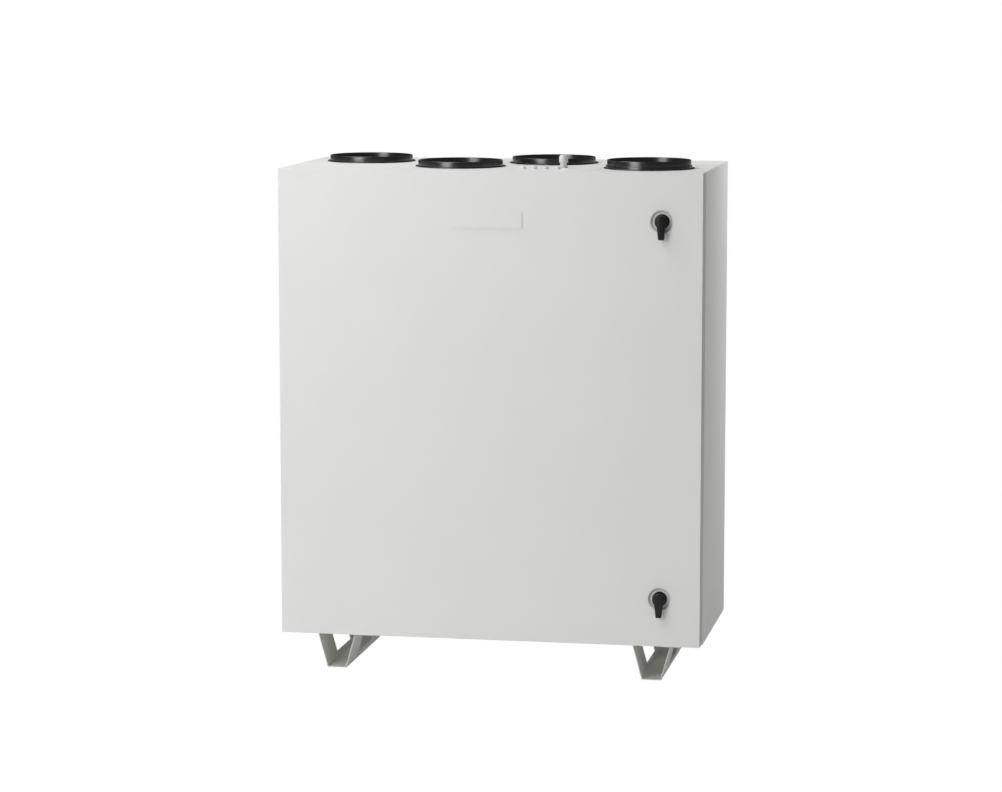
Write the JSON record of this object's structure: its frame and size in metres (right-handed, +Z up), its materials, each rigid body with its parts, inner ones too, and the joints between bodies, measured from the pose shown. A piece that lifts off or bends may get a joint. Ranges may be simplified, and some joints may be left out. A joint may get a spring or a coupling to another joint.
{
  "type": "heat recovery unit",
  "caption": "Upright heat recovery unit with top duct collars, hinged door with wing locks, counterflow exchanger, filters, fans and channel feet.",
  "frame": {"origin": "floor level under the middle of the unit's box", "axes": "+Z up, -Y out of the door, +X to the right when facing the door"},
  "size_m": [1, 0.5062, 1.228],
  "materials": {
    "paint": "satin powder coat",
    "zinc": "zinc-plated sheet",
    "black_plastic": "satin moulded",
    "grey_plastic": "satin moulded",
    "orange_plastic": "satin moulded",
    "foam": "expanded foam",
    "gasket": "matte",
    "core": "thin plates",
    "filter_frame": "card and plastic",
    "filter_media": "pleated fibre",
    "motor": "cast",
    "wheel": "moulded",
    "rods": "heat-darkened",
    "cable": "matte"
  },
  "bodies": {
    "cabinet": {"casing_left": "paint", "casing_right": "paint", "casing_back": "paint", "casing_top": "paint", "casing_bottom": "paint", "front_frame": "paint", "insulation": "foam", "inner_liner": "zinc", "duct_collar_1": "black_plastic", "duct_collar_2": "black_plastic", "duct_collar_3": "black_plastic", "duct_collar_4": "black_plastic", "cable_gland": "grey_plastic", "entry_plugs": "grey_plastic", "foot_left": "paint", "foot_right": "paint", "foot_screws": "zinc", "hinge_brackets": "zinc", "hinge_pins": "zinc", "lock_keepers": "zinc", "partitions": "zinc", "core_dividers": "zinc", "bypass_baffle": "zinc", "bypass_frame": "black_plastic", "bypass_actuator": "orange_plastic", "exchanger_core": "core", "exchanger_ends": "black_plastic", "slide_rails": "zinc", "filter_frame_left": "filter_frame", "filter_media_left": "filter_media", "filter_frame_right": "filter_frame", "filter_media_right": "filter_media", "fan_decks": "zinc", "fan_housing_left": "black_plastic", "fan_housing_right": "black_plastic", "fan_motor_left": "motor", "fan_motor_right": "motor", "heater_frame": "zinc", "heater_elements": "rods", "drain_tray": "black_plastic", "drain_spout": "black_plastic", "control_box": "grey_plastic", "control_cover": "grey_plastic", "temperature_probes": "zinc", "wiring_looms": "cable", "casing_rivets": "paint"},
    "door": {"door_skin": "paint", "door_insulation": "foam", "door_liner": "zinc", "door_gasket": "gasket", "blank_badge": "paint", "lock_housings": "black_plastic", "door_hinges": "zinc"},
    "upper_lock": {"lock_handle_upper": "black_plastic", "lock_cam_upper": "zinc"},
    "lower_lock": {"lock_handle_lower": "black_plastic", "lock_cam_lower": "zinc"},
    "left_wheel": {"impeller_left": "wheel"},
    "right_wheel": {"impeller_right": "wheel"},
    "damper": {"bypass_blade": "zinc"}
  },
  "joints": [
    {"name": "door_hinge", "type": "hinge", "parent": "cabinet", "child": "door", "pos_m": [-0.494, -0.1931, 1.027], "axis": [0, 0, -1], "range_deg": [0, 110]},
    {"name": "upper_lock_turn", "type": "hinge", "parent": "door", "child": "upper_lock", "pos_m": [0.4055, -0.2351, 1.085], "axis": [0, -1, 0], "range_deg": [0, 90]},
    {"name": "lower_lock_turn", "type": "hinge", "parent": "door", "child": "lower_lock", "pos_m": [0.4055, -0.2351, 0.205], "axis": [0, -1, 0], "range_deg": [0, 90]},
    {"name": "left_fan_spin", "type": "hinge", "parent": "cabinet", "child": "left_wheel", "pos_m": [-0.34, -0.0351, 0.3], "axis": [0, -1, 0], "continuous": true},
    {"name": "right_fan_spin", "type": "hinge", "parent": "cabinet", "child": "right_wheel", "pos_m": [0.34, -0.0351, 0.3], "axis": [0, -1, 0], "continuous": true},
    {"name": "bypass_turn", "type": "hinge", "parent": "cabinet", "child": "damper", "pos_m": [-0.125, 0.1939, 0.954], "axis": [1, 0, 0], "range_deg": [0, 90]}
  ]
}
